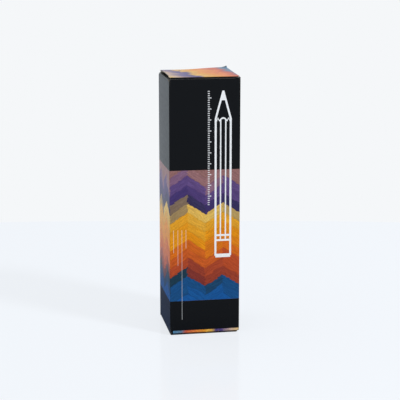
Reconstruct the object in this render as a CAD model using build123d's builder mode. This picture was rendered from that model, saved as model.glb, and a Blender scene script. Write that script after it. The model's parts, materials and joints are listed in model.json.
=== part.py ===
from build123d import *

import os
from math import cos, radians, sin

# A tall square carton of folding paperboard that holds coloured pencils, standing on its end.
# The frame: X runs across the front, the front faces -Y, Z is up, and the origin is the middle of the foot.
# The lid folds up from the back wall and tucks in behind the front wall. The base is the same closure
# turned over: it folds down from the front wall and tucks in behind the back wall.

os.makedirs("parts", exist_ok=True)

# ---- Driving dimensions, in millimetres ----------------------------------------------------------------

# Pencils: round, sharpened, standing points up
pencil_columns = 6
pencil_rows = 6
pencil_length = 175.0
pencil_diameter = 7.4
pencil_play = 0.5  # free space beside each pencil
lead_diameter = 3.3
glue_line = 0.02  # round the lead, in its bore
point_length = 21.0  # the sharpened cone, from the barrel to the tip
tip_diameter = 0.8
foot_chamfer = 0.4

# Paperboard
board = 0.5
corner_radius = 0.4  # outside of an upright fold
fold_gap = 0.1  # slit beside a fold, where the flap turns clear of its wall

# Heights of the stack, from the floor to the lid
base_drop = 0.2  # base panel to the dust flaps over it
stand_gap = 0.1  # dust flaps to the pencils' feet
headroom = 1.4  # pencils' tips to the dust flaps over them
lid_drop = 1.3  # dust flaps to the lid panel over them
front_drop = 1.3  # lid's top face down to the front wall's cut edge

# Closures
end_inset = 0.4  # each side edge of the lid or base panel, in from the side wall's face
lid_range = 120.0  # how far the lid and the base open, in degrees
tuck_turn = 0.7  # the share of that turn that a tuck flap makes; its own fold closes by the rest
tuck_slip = 0.05  # least room between a turning tuck flap and what it passes
tuck_reach = 12.0
tuck_inset = 0.9  # each side edge of a tuck flap, in from the edge of its panel
tuck_corner = 5.0
dust_opening = 8.4  # between the free edges of a pair of dust flaps
dust_corner = 3.0
dust_front_relief = 2.6  # dust flap's front edge, in from the tuck flap's fold, at the side wall
dust_front_slant = 0.14  # and further in by this much for each millimetre towards the middle
dust_back_relief = 1.3  # dust flap's back edge, in from the panel's fold, at the side wall
dust_back_slant = 0.8

# Side seam
seam_setback = 0.3  # cut edge of the right wall, in from the back face
glue_reach = 12.0
glue_end = 5.0  # each end of the glue flap, in from the wall's end
glue_slant = 3.0  # and further in at its free edge

# ---- Sizes that follow ---------------------------------------------------------------------------------

fold_radius = board / 2
pencil_pitch = pencil_diameter + pencil_play
rows_depth = pencil_rows * pencil_pitch

# As its lid turns up, a tuck flap's tip first swings towards the wall before it: tuck_play holds that swing.
tuck_play = (tuck_turn * tuck_reach) ** 2 / (2 * rows_depth) + tuck_slip
tuck_fold = radians(lid_range * (1 - tuck_turn))
tuck_fold_gap = fold_radius * ((1 + sin(tuck_fold)) / cos(tuck_fold) - 1) + tuck_slip

inner_width = pencil_columns * pencil_pitch + board
width = inner_width + 2 * board
inner_depth = rows_depth + tuck_play + board
depth = inner_depth + 2 * board
pencil_foot = 2 * board + base_drop + stand_gap
height = pencil_foot + pencil_length + headroom + 2 * board + lid_drop

# Each closure is drawn in its own frame: the origin is the middle of the carton's end, +Z points out
# of the carton, and +Y points to the wall that the closure folds from.
top_end = Plane(origin=(0, 0, height), x_dir=(1, 0, 0), z_dir=(0, 0, 1))
base_end = Plane(origin=(0, 0, 0), x_dir=(1, 0, 0), z_dir=(0, 0, -1))

hinge_y = depth / 2 - fold_radius
tuck_y = -(inner_depth / 2 - tuck_play - fold_radius)
panel_width = width - 2 * end_inset
tuck_width = panel_width - 2 * tuck_inset
dust_x = width / 2 - fold_radius
dust_reach = dust_x - dust_opening / 2
hinge_wall_drop = board + fold_gap


def dust_fold_drop(drop):
    """How far the fold of a dust flap lies inside the outer face of its end."""
    return board + drop + fold_radius


def side_wall_drop(drop):
    """How far a side wall's edge lies inside the outer face of its end."""
    return dust_fold_drop(drop) + fold_radius + fold_gap


def save(part, name):
    """Name a finished piece and write it to its own file."""
    part.label = name
    export_step(part, f"parts/{name}.step")


# ---- Walls ---------------------------------------------------------------------------------------------

front_bottom = hinge_wall_drop
front_top = height - front_drop

with BuildPart() as front_panel:
    with BuildSketch(Plane.XY.offset(front_bottom)):
        with Locations((0, -(depth - board) / 2)):
            Rectangle(width, board)
    extrude(amount=front_top - front_bottom)
    upright = front_panel.edges().filter_by(Axis.Z)
    fillet(upright.group_by(Axis.Y)[0], corner_radius)
save(front_panel.part, "front_panel")

# The back wall stands on the floor with its cut edge, and its right edge is the fold of the glue flap.
back_top = height - hinge_wall_drop
back_right = width / 2 - board

with BuildPart() as back_panel:
    with BuildSketch(Plane.XY):
        with Locations(((back_right - width / 2) / 2, (depth - board) / 2)):
            Rectangle(width / 2 + back_right, board)
    extrude(amount=back_top)
    upright = back_panel.edges().filter_by(Axis.Z)
    fillet(upright.group_by(Axis.Y)[-1], corner_radius)
save(back_panel.part, "back_panel")

side_bottom = side_wall_drop(base_drop)
side_top = height - side_wall_drop(lid_drop)

with BuildPart() as left_side_panel:
    with BuildSketch(Plane.XY.offset(side_bottom)):
        with Locations((-(width - board) / 2, 0)):
            Rectangle(board, inner_depth)
    extrude(amount=side_top - side_bottom)
save(left_side_panel.part, "left_side_panel")

# The right wall covers the glue flap, and ends in a cut edge just short of the back face.
right_back = depth / 2 - seam_setback

with BuildPart() as right_side_panel:
    with BuildSketch(Plane.XY.offset(side_bottom)):
        with Locations(((width - board) / 2, (right_back - inner_depth / 2) / 2)):
            Rectangle(board, right_back + inner_depth / 2)
    extrude(amount=side_top - side_bottom)
save(right_side_panel.part, "right_side_panel")

glue_back = inner_depth / 2
glue_front = glue_back - glue_reach
glue_bottom = side_bottom + glue_end
glue_top = side_top - glue_end

with BuildPart() as glue_flap:
    with BuildSketch(Plane.YZ.offset(inner_width / 2 - board)):
        with BuildLine():
            Polyline(
                (glue_back, glue_bottom),
                (glue_back, glue_top),
                (glue_front, glue_top - glue_slant),
                (glue_front, glue_bottom + glue_slant),
                close=True,
            )
        make_face()
    extrude(amount=board)
save(glue_flap.part, "glue_flap")


# ---- Closures ------------------------------------------------------------------------------------------


def end_panel(name, end):
    """The panel that closes an end: a plate with a round fold along the wall that it hangs from."""
    tuck_edge = tuck_y + fold_radius + tuck_fold_gap
    with BuildPart(end) as panel:
        with BuildSketch(end.offset(-board)):
            with Locations((0, (tuck_edge + hinge_y) / 2)):
                Rectangle(panel_width, hinge_y - tuck_edge)
        extrude(amount=board)
        with Locations((0, hinge_y, -fold_radius)):
            Cylinder(fold_radius, panel_width, rotation=(0, 90, 0))
    save(panel.part, name)


def tuck_flap(name, end):
    """The flap on the free edge of an end panel, which slides in behind the opposite wall."""
    flap_face = Plane(
        origin=end.from_local_coords((0, tuck_y - fold_radius, 0)),
        x_dir=end.x_dir,
        z_dir=end.y_dir,
    )
    with BuildPart(end) as flap:
        with BuildSketch(flap_face) as outline:
            with Locations((0, (fold_radius + tuck_reach) / 2)):
                Rectangle(tuck_width, tuck_reach - fold_radius)
            fillet(outline.vertices().group_by(Axis.Y)[-1], tuck_corner)
        extrude(amount=board)
        with Locations((0, tuck_y, -fold_radius)):
            Cylinder(fold_radius, tuck_width, rotation=(0, 90, 0))
    save(flap.part, name)


def dust_flap(name, end, side, drop):
    """A side flap under an end panel; side is -1 on the left wall and 1 on the right wall."""
    front_edge = tuck_y + dust_front_relief
    back_edge = hinge_y - dust_back_relief
    with BuildPart(end) as flap:
        with BuildSketch(end.offset(-(2 * board + drop))) as outline:
            with BuildLine():
                Polyline(
                    (side * dust_x, front_edge),
                    (side * dust_x, back_edge),
                    (side * (dust_x - dust_reach), back_edge - dust_back_slant * dust_reach),
                    (side * (dust_x - dust_reach), front_edge + dust_front_slant * dust_reach),
                    close=True,
                )
            make_face()
            towards_middle = outline.vertices().sort_by(Axis.X, reverse=side > 0)
            fillet(towards_middle[-2:], dust_corner)
        extrude(amount=board)
        with Locations((side * dust_x, (front_edge + back_edge) / 2, -dust_fold_drop(drop))):
            Cylinder(fold_radius, back_edge - front_edge, rotation=(90, 0, 0))
    save(flap.part, name)


for end_name, panel_name, end, drop in (
    ("lid", "lid_panel", top_end, lid_drop),
    ("base", "base_panel", base_end, base_drop),
):
    end_panel(panel_name, end)
    tuck_flap(f"{end_name}_tuck_flap", end)
    dust_flap(f"{end_name}_dust_flap_left", end, -1, drop)
    dust_flap(f"{end_name}_dust_flap_right", end, 1, drop)


# ---- Pencils -------------------------------------------------------------------------------------------

barrel_radius = pencil_diameter / 2
lead_radius = lead_diameter / 2
tip_radius = tip_diameter / 2
bore_radius = lead_radius + glue_line
cone_slope = point_length / (barrel_radius - tip_radius)
shoulder = pencil_length - point_length
casing_end = pencil_length - (bore_radius - tip_radius) * cone_slope
lead_cone = pencil_length - (lead_radius - tip_radius) * cone_slope


def pencil(name, x, y):
    """A pencil standing on its foot: a wooden casing, and the lead that runs through it from end to end."""
    foot = Plane(origin=(x, y, pencil_foot))
    section = Plane(origin=foot.origin, x_dir=(1, 0, 0), z_dir=(0, -1, 0))
    axis = Axis(foot.origin, (0, 0, 1))
    with BuildPart(foot) as whole:
        with BuildSketch(section):
            with BuildLine():
                Polyline(
                    (bore_radius, 0),
                    (barrel_radius - foot_chamfer, 0),
                    (barrel_radius, foot_chamfer),
                    (barrel_radius, shoulder),
                    (bore_radius, casing_end),
                    close=True,
                )
            make_face()
        revolve(axis=axis)
        with BuildSketch(section):
            with BuildLine():
                Polyline(
                    (0, 0),
                    (lead_radius, 0),
                    (lead_radius, lead_cone),
                    (tip_radius, pencil_length),
                    (0, pencil_length),
                    close=True,
                )
            make_face()
        revolve(axis=axis)
    save(whole.part, name)


# The rows fill the space that the glue flap and the base's tuck flap leave free.
first_x = -inner_width / 2 + pencil_pitch / 2
first_y = -inner_depth / 2 + pencil_pitch / 2

for row in range(pencil_rows):
    for column in range(pencil_columns):
        number = row * pencil_columns + column + 1
        pencil(f"pencil_{number:02d}", first_x + column * pencil_pitch, first_y + row * pencil_pitch)

print(f"carton {width:.2f} x {depth:.2f} x {height:.2f} mm, lid fold at y {hinge_y:.2f}, tuck at {tuck_y:.2f}")
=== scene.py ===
# %% [markdown]
# # A folding carton of coloured pencils
# The real thing is one sheet of printed board, 0.5 mm thick, scored and folded into a tall square tube. A
# lid folds over from the back wall and a base folds under from the front wall. Thirty-six pencils stand
# inside. The imported model gives the frame: every piece below is drawn in that frame, in metres, and each
# wall, flap and pencil moves with one of its bodies. First the frame is loaded.

import json
import math

import bpy
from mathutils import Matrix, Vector


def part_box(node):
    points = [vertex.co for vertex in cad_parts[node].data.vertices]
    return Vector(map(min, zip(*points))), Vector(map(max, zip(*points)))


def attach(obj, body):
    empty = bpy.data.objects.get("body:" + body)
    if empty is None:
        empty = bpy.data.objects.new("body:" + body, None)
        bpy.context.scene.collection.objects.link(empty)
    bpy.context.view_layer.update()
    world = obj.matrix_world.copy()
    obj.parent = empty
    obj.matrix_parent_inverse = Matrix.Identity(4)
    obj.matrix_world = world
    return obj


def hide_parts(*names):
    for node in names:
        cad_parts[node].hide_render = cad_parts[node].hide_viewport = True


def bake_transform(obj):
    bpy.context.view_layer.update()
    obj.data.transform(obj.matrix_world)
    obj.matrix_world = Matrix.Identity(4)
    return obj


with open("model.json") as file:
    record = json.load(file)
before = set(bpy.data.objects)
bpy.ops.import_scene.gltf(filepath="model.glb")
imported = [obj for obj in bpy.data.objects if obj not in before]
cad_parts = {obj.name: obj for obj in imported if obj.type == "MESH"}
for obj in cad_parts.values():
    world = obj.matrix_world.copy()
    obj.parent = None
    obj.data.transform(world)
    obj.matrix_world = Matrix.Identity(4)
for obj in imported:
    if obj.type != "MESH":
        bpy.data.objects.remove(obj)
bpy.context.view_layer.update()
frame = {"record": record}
MM = 0.001


# %% [markdown]
# ## The sizes that the board is folded to
# A folded board isn't a stack of plates: it is one sheet that runs round each corner. So the sheet is drawn
# from its outside face, with the fold lines as small arcs, and the thickness is laid inwards from there.
# The walls' places are read from the frame, so that the sheet lies exactly where the model has it.

# %% Places of the walls
HALF_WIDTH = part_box("front_panel")[1].x / MM
HALF_DEPTH = -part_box("front_panel")[0].y / MM
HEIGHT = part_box("lid_panel")[1].z / MM
FRONT_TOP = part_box("front_panel")[1].z / MM
BACK_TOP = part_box("back_panel")[1].z / MM
BACK_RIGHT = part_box("back_panel")[1].x / MM
SIDE_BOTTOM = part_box("left_side_panel")[0].z / MM
SIDE_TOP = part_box("left_side_panel")[1].z / MM
RIGHT_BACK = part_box("right_side_panel")[1].y / MM
BOARD = HALF_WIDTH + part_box("left_side_panel")[1].x / MM
TUCK_Y = -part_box("lid_tuck_flap")[0].y / MM  # outside face of a tuck flap, from the middle
FRONT_Y, BACK_Y = -HALF_DEPTH, HALF_DEPTH
WIDTH, DEPTH = 2 * HALF_WIDTH, 2 * HALF_DEPTH
GIRTH = 2 * (WIDTH + DEPTH)

FOLD = 0.55  # outside radius of a fold
FLAT = 0.5  # flat board that a fold strip takes with it on either side
STRIP = FOLD + FLAT  # from a folded corner to the edge of its strip
FOLD_SLIT = 0.1  # between a side wall and the fold of its dust flap
INNER_X, INNER_Y = HALF_WIDTH - FOLD, HALF_DEPTH - FOLD
GLUE_X = BACK_RIGHT - FOLD  # centre of the glue flap's fold
SIDE_FOLD_TOP = SIDE_TOP + FOLD_SLIT + BOARD  # outside face of the dust flap above
SIDE_FOLD_LOW = SIDE_BOTTOM - FOLD_SLIT - BOARD
LEFT_BEND, RIGHT_BEND, REAR_BEND = 0.0, WIDTH, -DEPTH  # upright folds, across the flat sheet
print(f"walls {WIDTH:.2f} x {DEPTH:.2f} mm, board {BOARD:.2f} mm, girth {GIRTH:.2f} mm")

# %% [markdown]
# ## One way to make every piece of board
# Each piece is a grid of points on the outside face of the board. A point knows the way out of the board,
# so its twin on the inside face lies one thickness behind it, and the rim between the two faces is the cut
# edge. Every point also carries its place on the flat, unfolded sheet, in a UV map named blank. The print
# is drawn on that map, so it runs on over the folds without a break, as it does on the real sheet.

# %% A piece of board from a grid of points
OUTSIDE, INSIDE, CUT = 0, 1, 2
UV_MM = 100.0  # millimetres of the flat sheet for each unit of the map


class Spot:
    """A point on the board's outside face: its place, the way out, its place on the flat sheet, its wear."""

    def __init__(self, place, out, flat, wear=0.0):
        self.place, self.out, self.flat, self.wear = Vector(place), Vector(out), flat, wear


def board_piece(name, rows, looks):
    """A closed piece of board from rows of spots. looks are its outside, inside and cut-edge finishes."""
    height, length = len(rows), len(rows[0])
    spots = [s for row in rows for s in row]
    places = [s.place * MM for s in spots] + [(s.place - s.out * BOARD) * MM for s in spots]
    behind = len(spots)

    def at(i, j):
        return i * length + j

    def quad(i, j):
        return [at(i, j), at(i, j + 1), at(i + 1, j + 1), at(i + 1, j)]

    def faces_out(i, j):
        a, b, c = (places[k] for k in quad(i, j)[:3])
        return (b - a).cross(c - b).dot(spots[at(i, j)].out) > 0

    forwards = faces_out(min(height // 2, height - 2), min(length // 2, length - 2))
    faces, kinds = [], []
    for i in range(height - 1):
        for j in range(length - 1):
            face = quad(i, j)
            faces.append(face if forwards else face[::-1])
            faces.append([k + behind for k in (face[::-1] if forwards else face)])
            kinds += [OUTSIDE, INSIDE]
    rim = (
        [at(0, j) for j in range(length)]
        + [at(i, length - 1) for i in range(1, height)]
        + [at(height - 1, j) for j in range(length - 2, -1, -1)]
        + [at(i, 0) for i in range(height - 2, 0, -1)]
    )
    for a, b in zip(rim, rim[1:] + rim[:1]):
        face = [b, a, a + behind, b + behind]
        faces.append(face if forwards else face[::-1])
        kinds.append(CUT)

    mesh = bpy.data.meshes.new(name)
    mesh.from_pydata([tuple(p) for p in places], [], faces)
    flat = mesh.uv_layers.new(name="blank")
    wear = mesh.attributes.new("wear", "FLOAT", "POINT")
    for k, spot in enumerate(spots):
        wear.data[k].value = wear.data[k + behind].value = spot.wear
    for loop in mesh.loops:
        spot = spots[loop.vertex_index % behind]
        flat.data[loop.index].uv = (spot.flat[0] / UV_MM, spot.flat[1] / UV_MM)
    for look in looks:
        mesh.materials.append(look)
    for face, kind in zip(mesh.polygons, kinds):
        face.material_index = kind
        face.use_smooth = kind != CUT
    mesh.validate()
    piece = bpy.data.objects.new(name, mesh)
    bpy.context.scene.collection.objects.link(piece)
    return piece


NEAR_ENDS = (0.0, 0.25, 0.6, 1.2, 2.4)  # where spots lie near an edge, in millimetres from it


def steps(low, high, step, near=NEAR_ENDS):
    """Values from low to high, closer together near the two ends, where board wears and bends."""
    middle_low, middle_high = low + near[-1], high - near[-1]
    count = max(2, round((middle_high - middle_low) / step))
    middle = [middle_low + (middle_high - middle_low) * k / count for k in range(1, count)]
    return [low + n for n in near] + middle + [high - n for n in reversed(near)]


def shares(length, step, near=NEAR_ENDS):
    """The same steps as shares of the length, for rows that differ in length but need as many spots."""
    return [s / length for s in steps(0.0, length, step, near)]


def smooth(x):
    """0 below 0, 1 above 1, and a soft rise between."""
    x = min(1.0, max(0.0, x))
    return x * x * (3 - 2 * x)


def soft_step(x, start, over, by):
    """A soft step by so many millimetres, which begins at start and is complete after over."""
    return by * smooth((x - start) / over)


print("a step of 1 mm from 0 to 4 mm:", [round(soft_step(x, start=0, over=4, by=1), 2) for x in range(5)])

# %% [markdown]
# ## Numbers that vary over a surface
# The print is a drawing made of sums: which swatch a point lies in, how far it is from a line, which pencil
# stroke crosses it. Blender works such sums out with Math nodes. Writing them one by one hides the drawing,
# so a small class answers to plus, minus and times, and builds the nodes behind the scenes.

# %% Sums that build shader nodes
class Field:
    """A number that varies over a surface. Sums of fields make the Math nodes that work them out."""

    def __init__(self, tree, socket):
        self.tree, self.socket = tree, socket

    def math(self, operation, *others):
        node = self.tree.nodes.new("ShaderNodeMath")
        node.operation = operation
        for socket, value in zip(node.inputs, (self, *others)):
            feed(socket, value)
        return Field(self.tree, node.outputs[0])

    def __add__(self, other):
        return self.math("ADD", other)

    def __sub__(self, other):
        return self.math("SUBTRACT", other)

    def __mul__(self, other):
        return self.math("MULTIPLY", other)

    def __truediv__(self, other):
        return self.math("DIVIDE", other)

    def floor(self):
        return self.math("FLOOR")

    def size(self):
        return self.math("ABSOLUTE")

    def least(self, other):
        return self.math("MINIMUM", other)

    def most(self, other):
        return self.math("MAXIMUM", other)

    def rise(self, low, high, bottom=0.0, top=1.0):
        """A soft rise from bottom to top as the field goes from low to high."""
        node = self.tree.nodes.new("ShaderNodeMapRange")
        node.interpolation_type = "SMOOTHSTEP"
        feed(node.inputs["Value"], self)
        for name, value in zip(("From Min", "From Max", "To Min", "To Max"), (low, high, bottom, top)):
            feed(node.inputs[name], value)
        return Field(self.tree, node.outputs["Result"])

    def fall(self, low, high):
        """1 below low and 0 above high."""
        return self.rise(low, high, 1.0, 0.0)

    def between(self, low, high, soft=0.04):
        """1 where the field lies between low and high, and 0 elsewhere, with edges as soft as print."""
        return self.rise(low - soft, low + soft) * self.fall(high - soft, high + soft)


def feed(socket, value):
    """Link a field or a socket to a node's input, or write a plain number there."""
    if isinstance(value, Field):
        value = value.socket
    if isinstance(value, bpy.types.NodeSocket):
        socket.id_data.links.new(value, socket)
    else:
        socket.default_value = value


def join(tree, x, y, z=0.0):
    """Three numbers as one vector."""
    node = tree.nodes.new("ShaderNodeCombineXYZ")
    for socket, value in zip(node.inputs, (x, y, z)):
        feed(socket, value)
    return node.outputs[0]


def parts(tree, vector):
    """A vector's three numbers."""
    node = tree.nodes.new("ShaderNodeSeparateXYZ")
    feed(node.inputs[0], vector)
    return [Field(tree, output) for output in node.outputs]


def sheet_place(tree):
    """The place on the flat sheet in millimetres: across it, and up it."""
    flat = tree.nodes.new("ShaderNodeUVMap")
    flat.uv_map = "blank"
    u, v, _ = parts(tree, flat.outputs["UV"])
    return u * UV_MM, v * UV_MM


def object_place(tree):
    """The place on the object in metres, as a socket."""
    return tree.nodes.new("ShaderNodeTexCoord").outputs["Object"]


def cloud(tree, vector, scale=1.0, detail=2.0, rough=0.5):
    """Soft noise from 0 to 1."""
    node = tree.nodes.new("ShaderNodeTexNoise")
    feed(node.inputs["Vector"], vector)
    node.inputs["Scale"].default_value = scale
    node.inputs["Detail"].default_value = detail
    node.inputs["Roughness"].default_value = rough
    return Field(tree, node.outputs["Fac"])


def sheet_cloud(tree, u, v, across, along, detail=2.0, rough=0.5):
    """Soft noise on the flat sheet, with so many lumps for each millimetre across it and along it."""
    return cloud(tree, join(tree, u * across, v * along), detail=detail, rough=rough)


def dice(tree, x, y=0.0):
    """A number from 0 to 1 for each pair of whole numbers, as from a throw of dice."""
    node = tree.nodes.new("ShaderNodeTexWhiteNoise")
    node.noise_dimensions = "2D"
    feed(node.inputs["Vector"], join(tree, x, y))
    return Field(tree, node.outputs["Value"])


def ink(red, green, blue):
    """A colour given as it looks on a screen, from 0 to 255, as the linear colour that a shader reads."""
    def linear(level):
        level /= 255
        return level / 12.92 if level <= 0.04045 else ((level + 0.055) / 1.055) ** 2.4
    return (linear(red), linear(green), linear(blue), 1.0)


def ramp(tree, field, stops):
    """A colour for each value of the field."""
    node = tree.nodes.new("ShaderNodeValToRGB")
    feed(node.inputs["Fac"], field)
    while len(node.color_ramp.elements) < len(stops):
        node.color_ramp.elements.new(0.5)
    for element, (position, colour) in zip(node.color_ramp.elements, stops):
        element.position, element.color = position, colour
    return node.outputs["Color"]


def of_kind(sockets, name, kind):
    """A Mix node names its sockets for numbers and for colours alike, so one is picked by its kind too."""
    return [s for s in sockets if s.name == name and s.type == kind][0]


def mix(tree, share, first, second, kind="MIX"):
    """first where share is 0 and second where it is 1."""
    node = tree.nodes.new("ShaderNodeMix")
    node.data_type = "RGBA"
    node.blend_type = kind
    feed(of_kind(node.inputs, "Factor", "VALUE"), share)
    feed(of_kind(node.inputs, "A", "RGBA"), first)
    feed(of_kind(node.inputs, "B", "RGBA"), second)
    return of_kind(node.outputs, "Result", "RGBA")


def finish(name, roughness=0.5, specular=0.5):
    """A new material with its shader: (material, tree, shader)."""
    material = bpy.data.materials.new(name)
    material.use_nodes = True
    tree = material.node_tree
    shader = tree.nodes["Principled BSDF"]
    shader.inputs["Roughness"].default_value = roughness
    shader.inputs["Specular IOR Level"].default_value = specular
    return material, tree, shader


def relief(tree, shader, height, strength, distance):
    """Small bumps from a field of heights."""
    node = tree.nodes.new("ShaderNodeBump")
    node.inputs["Strength"].default_value = strength
    node.inputs["Distance"].default_value = distance
    feed(node.inputs["Height"], height)
    tree.links.new(node.outputs["Normal"], shader.inputs["Normal"])


print("middle grey of a screen, as a shader reads it:", round(ink(128, 128, 128)[0], 3))

# %% [markdown]
# ## The printed outside
# Black ink, a band of colour round all four walls, and more of it over the lid and under the base, below a
# satin varnish. The band is drawn as pencils would fill it: swatches in a herringbone, shaded by hand in
# straight leaning strokes that end raggedly. Each swatch takes its colour from a row of inks by its height,
# with a small throw of dice, so that neighbours differ as hand-shaded swatches do. The white drawing on the
# front is a pencil in outline, beside a fine scale of ticks. Where the sheet is folded or cut, the ink has
# rubbed to board.

# %% Herringbone of shaded swatches
SWATCH_WIDTH = GIRTH / 16  # a whole number of swatches goes round the four walls
SWATCH_HEIGHT = 6.4
STROKE = 0.85  # from one pencil stroke to the next
LEAN = math.tan(math.radians(33))
RAGGED = 1.3  # how far the strokes' ends differ
DRIFT, DRIFT_LUMPS = 2.4, 0.11  # how far the swatches wander, in so many lumps for each millimetre


def swatches(tree, u, v):
    """The herringbone at (u, v): column, number of the swatch up its column, height, and place across it."""
    ragged = (dice(tree, (v / STROKE).floor(), 7.0) - 0.5) * RAGGED
    drift = (sheet_cloud(tree, u, v, DRIFT_LUMPS, DRIFT_LUMPS) - 0.5) * DRIFT
    shifted = u + ragged
    column = (shifted / SWATCH_WIDTH).floor()
    across = shifted - (column + 0.5) * SWATCH_WIDTH
    side = column.math("FLOORED_MODULO", 2.0) * 2.0 - 1.0
    up = v + drift + side * across * LEAN
    swatch = (up / SWATCH_HEIGHT).floor()
    return column, swatch, up, across


def shaded(tree, colour, up, across, u, v, swatch, column):
    """Pencil strokes over a colour: streaks along them, the paper's tooth, dark lines between swatches."""
    streak = cloud(tree, join(tree, across * 0.16, up * 1.5, column * 3.7), detail=3.0, rough=0.6)
    tooth = sheet_cloud(tree, u, v, 1.7, 1.7, rough=0.7)
    body = streak.rise(0.28, 0.72) * 0.65 + tooth.rise(0.3, 0.75) * 0.35
    inside = up / SWATCH_HEIGHT - swatch
    seam = inside.rise(0.0, 0.1) * inside.rise(0.94, 1.0, 1.0, 0.55)
    dark = mix(tree, 1.0, colour, (0.68, 0.62, 0.64, 1), "MULTIPLY")
    light = mix(tree, 1.0, colour, (1.34, 1.32, 1.26, 1), "MULTIPLY")
    return mix(tree, seam * 0.6 + 0.4, dark, mix(tree, body, dark, light))


WALL_INKS = [
    (0.00, ink(18, 84, 152)),
    (0.09, ink(20, 74, 124)),
    (0.15, ink(24, 52, 62)),
    (0.19, ink(120, 48, 42)),
    (0.29, ink(182, 76, 36)),
    (0.38, ink(206, 104, 24)),
    (0.50, ink(220, 142, 16)),
    (0.60, ink(217, 160, 44)),
    (0.68, ink(216, 184, 96)),
    (0.72, ink(46, 42, 84)),
    (0.80, ink(66, 52, 108)),
    (0.88, ink(100, 78, 130)),
    (0.94, ink(146, 108, 112)),
    (1.00, ink(140, 102, 100)),
]
END_INKS = [
    (0.00, ink(226, 196, 120)),
    (0.14, ink(196, 170, 150)),
    (0.24, ink(98, 80, 132)),
    (0.32, ink(70, 60, 120)),
    (0.38, ink(222, 178, 80)),
    (0.52, ink(226, 152, 44)),
    (0.66, ink(222, 128, 62)),
    (0.76, ink(196, 90, 66)),
    (0.84, ink(96, 124, 150)),
    (1.00, ink(70, 136, 178)),
]
BAND_LOW, BAND_HIGH = 24.5, 116.5
print(f"swatches {SWATCH_WIDTH:.2f} x {SWATCH_HEIGHT} mm, {len(WALL_INKS)} inks on the walls")

# %% White drawing on the front
PENCIL_MIDDLE, PENCIL_HALF = 37.0, 5.2  # from the left edge of the front, and half its width
PENCIL_TOP, PENCIL_FOOT = 170.5, 56.0
CONE, TIP = 19.0, 6.4  # lengths of the sharpened end and of its filled tip
SCALLOP, SCALLOP_RATE = 1.9, 0.28  # depth of the lacquer's wavy edge, and how fast it waves
FACET = 1.75  # each facet line, from the middle
FERRULE_LOW, FERRULE_HIGH = PENCIL_FOOT + 11.0, PENCIL_FOOT + 14.5
FOOT_CUT = PENCIL_FOOT - 1.25  # where the thick line at the foot ends
LINE = 0.62  # half the width of a drawn line
BLUR = 0.1  # width over which its edge fades
TICKS = dict(left=26.4, top=170.5, foot=92.0, pitch=1.5)
TICK_WHITE, RULE_WHITE = 0.75, 0.5  # how strongly they are printed
FINE_RULES = [(2.6, 75.0, 59.0), (5.6, 75.0, 50.0), (8.4, 75.0, 11.0), (11.2, 75.0, 62.0)]  # left, top, foot


def line(distance, half=LINE):
    """1 where the distance from a line is less than half its width."""
    return distance.size().fall(half, half + BLUR)


def outline_pencil(u, v):
    """1 on the lines of a pencil that points up."""
    across = (u - PENCIL_MIDDLE).size()
    down = (v * -1.0) + PENCIL_TOP  # distance below the point
    edge = (down / CONE).least(1.0) * PENCIL_HALF  # half the pencil's width at this height
    within = (across - edge).fall(0.0, BLUR)
    tip = down.fall(TIP, TIP + 0.2) * within
    wave = (across * across * SCALLOP_RATE).math("PINGPONG", SCALLOP)
    cut = line(down - (wave + (CONE - 0.4)), LINE * 0.8) * within
    facets = line(across - FACET, LINE * 0.62) * down.rise(CONE + 0.5, CONE + 0.7)
    facets = facets * v.rise(FERRULE_LOW, FERRULE_LOW + BLUR)  # none on the rubber
    ferrule = line(v - FERRULE_LOW).most(line(v - FERRULE_HIGH)) * within
    drawn = line(across - edge).most(tip).most(cut).most(facets).most(ferrule)
    drawn = drawn * down.rise(-BLUR / 2, BLUR / 2) * v.rise(PENCIL_FOOT - BLUR / 2, PENCIL_FOOT + BLUR / 2)
    foot = line(v - PENCIL_FOOT, LINE * 2) * within * v.rise(FOOT_CUT - BLUR / 2, FOOT_CUT + BLUR / 2)
    return drawn.most(foot)


def tick_scale(u, v, left, top, foot, pitch):
    """1 on a row of fine ticks down the wall, every fifth one longer."""
    number = (v / pitch).floor()
    tick = (v / pitch - number - 0.5).size().fall(0.2, 0.26)
    fifth = number.math("FLOORED_MODULO", 5.0).fall(0.4, 0.6)
    across = u - left
    reach = fifth * 1.1 + 1.3
    start, end = across.rise(-BLUR / 2, BLUR / 2), (across - reach).fall(-BLUR / 2, BLUR / 2)
    return tick * start * end * v.between(foot, top)


def white_drawing(u, v):
    """How much white ink lies on the front: the pencil, the ticks beside it and four fine rules."""
    white = outline_pencil(u, v).most(tick_scale(u, v, **TICKS) * TICK_WHITE)
    for left, top, foot in FINE_RULES:
        white = white.most((u - left).size().fall(0.1, 0.2) * v.between(foot, top) * RULE_WHITE)
    return white


print(f"outline pencil {PENCIL_TOP - PENCIL_FOOT} mm long, {len(FINE_RULES)} fine rules")

# %% The whole print
BLEED = 3.1  # the base's colours run this far up the front wall
BLEED_START = 2.0  # from the front's left edge
INK_AND_SHADE_PAST_TUCK = 2.5  # black past a tuck flap's fold: ink, and on the lid painted shade for the crevice behind the front wall
LID_EDGE = HEIGHT + DEPTH - (HALF_DEPTH - TUCK_Y)  # the tuck folds on the flat sheet
BASE_EDGE = -DEPTH + (HALF_DEPTH - TUCK_Y)
PAINTED_FOOT_SHADE = 0.9  # how dark the painted shade is on the base's fold, where it curls under to the table


def end_colours(tree, u, v, throw):
    """The colours of the lid and the base, which run from left to right."""
    from_left = (u * -1.0) - DEPTH  # on the lid, whose sheet hangs from the back wall
    from_front = (v * -1.0) + (HEIGHT + DEPTH)
    on_lid = from_left / WIDTH * 0.74 + from_front / DEPTH * 0.24 + throw * 0.12
    on_base = u / WIDTH * -0.95 + 0.97 + throw * 0.06
    above = v.rise(HEIGHT * 0.9, HEIGHT * 0.9 + 0.1)
    return mix(tree, above, ramp(tree, on_base, END_INKS), ramp(tree, on_lid, END_INKS))


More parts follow.
